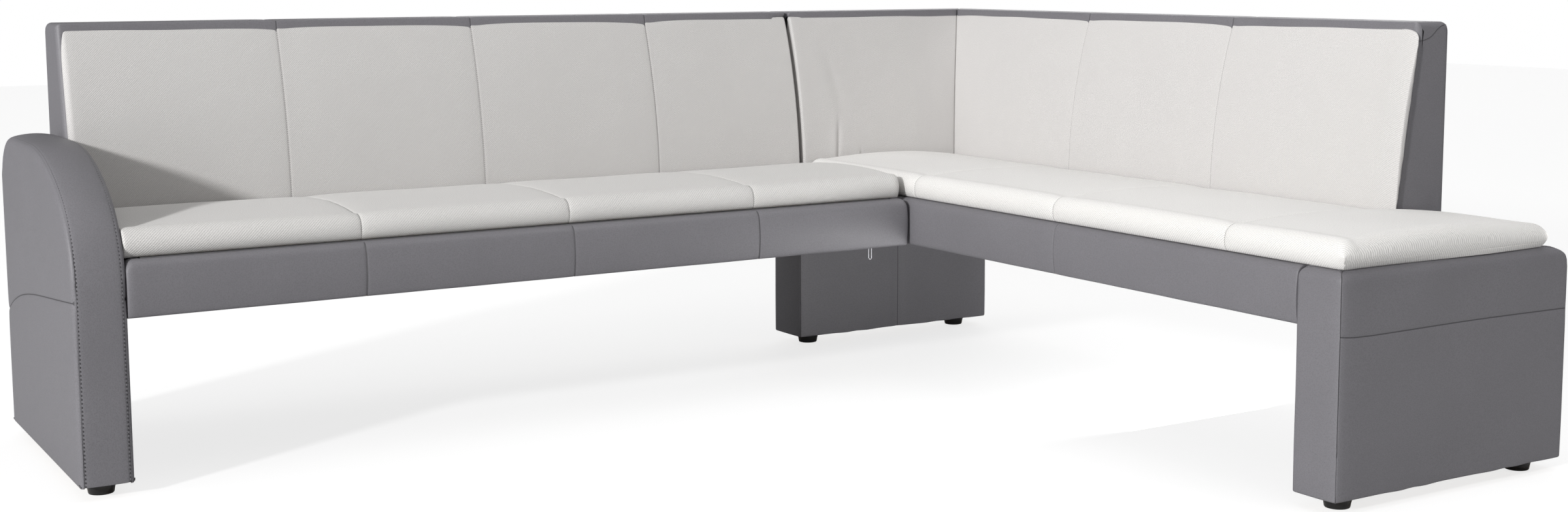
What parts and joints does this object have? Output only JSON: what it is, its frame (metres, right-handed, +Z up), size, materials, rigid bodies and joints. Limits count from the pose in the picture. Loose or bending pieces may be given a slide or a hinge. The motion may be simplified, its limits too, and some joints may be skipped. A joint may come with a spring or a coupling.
{
  "type": "corner bench",
  "caption": "L-shaped upholstered dining bench with sewn fabric seats and backs, grey leather arm, slab legs and footstool end, coupled by hooks and a sliding bolt.",
  "frame": {"origin": "on the floor, below the middle of the bench's overall box", "axes": "+Z up, +X along the left wing from the arm to the corner, +Y from the seat to the wall behind the left wing"},
  "size_m": [2.47, 1.955, 0.86],
  "materials": {
    "seat_fabric": "woven twill",
    "grey_leather": "fine grain",
    "black_plastic": "gloss",
    "webbing": "woven band",
    "felt": "needled felt",
    "dust_sheet": "spunbond",
    "zinc_steel": "zinc plated",
    "hardboard": "raw",
    "plywood": "raw",
    "softwood": "planed"
  },
  "bodies": {
    "bench": {"arm_battens": "softwood", "arm_cover": "grey_leather", "arm_edge_strip": "hardboard", "arm_feet": "black_plastic", "arm_inner_board": "plywood", "arm_outer_board": "plywood", "corner_back_cover": "grey_leather", "corner_back_cushion": "seat_fabric", "corner_back_front_board": "plywood", "corner_back_posts": "softwood", "corner_back_rear_board": "hardboard", "corner_back_top_rail": "softwood", "corner_leg_battens": "softwood", "corner_leg_boards": "plywood", "corner_leg_cover": "grey_leather", "corner_leg_feet": "black_plastic", "coupling_screws": "zinc_steel", "end_panel_battens": "softwood", "end_panel_boards": "plywood", "end_panel_cover": "grey_leather", "end_panel_feet": "black_plastic", "foot_screws": "zinc_steel", "frame_screws": "zinc_steel", "hook_plates": "zinc_steel", "hook_straps": "zinc_steel", "latch_base": "zinc_steel", "latch_board": "plywood", "latch_keeper": "zinc_steel", "left_back_cover": "grey_leather", "left_back_cushion": "seat_fabric", "left_back_front_board": "plywood", "left_back_posts": "softwood", "left_back_rail": "softwood", "left_back_rear_board": "hardboard", "left_back_top_rail": "softwood", "left_cross_rails": "softwood", "left_dust_sheet": "dust_sheet", "left_frame_cover": "grey_leather", "left_front_rail": "softwood", "left_seat_cushion": "seat_fabric", "left_seat_felt": "felt", "left_webbing": "webbing", "right_back_cover": "grey_leather", "right_back_cushion": "seat_fabric", "right_back_front_board": "plywood", "right_back_posts": "softwood", "right_back_rail": "softwood", "right_back_rear_board": "hardboard", "right_back_top_rail": "softwood", "right_cross_rails": "softwood", "right_dust_sheet": "dust_sheet", "right_frame_cover": "grey_leather", "right_front_rail": "softwood", "right_seat_cushion": "seat_fabric", "right_seat_felt": "felt", "right_webbing": "webbing"},
    "bolt": {"latch_bolt": "zinc_steel"}
  },
  "joints": [
    {"name": "latch_slide", "type": "slide", "parent": "bench", "child": "bolt", "axis": [-1, 0, 0], "range_m": [0, 0.04]}
  ]
}
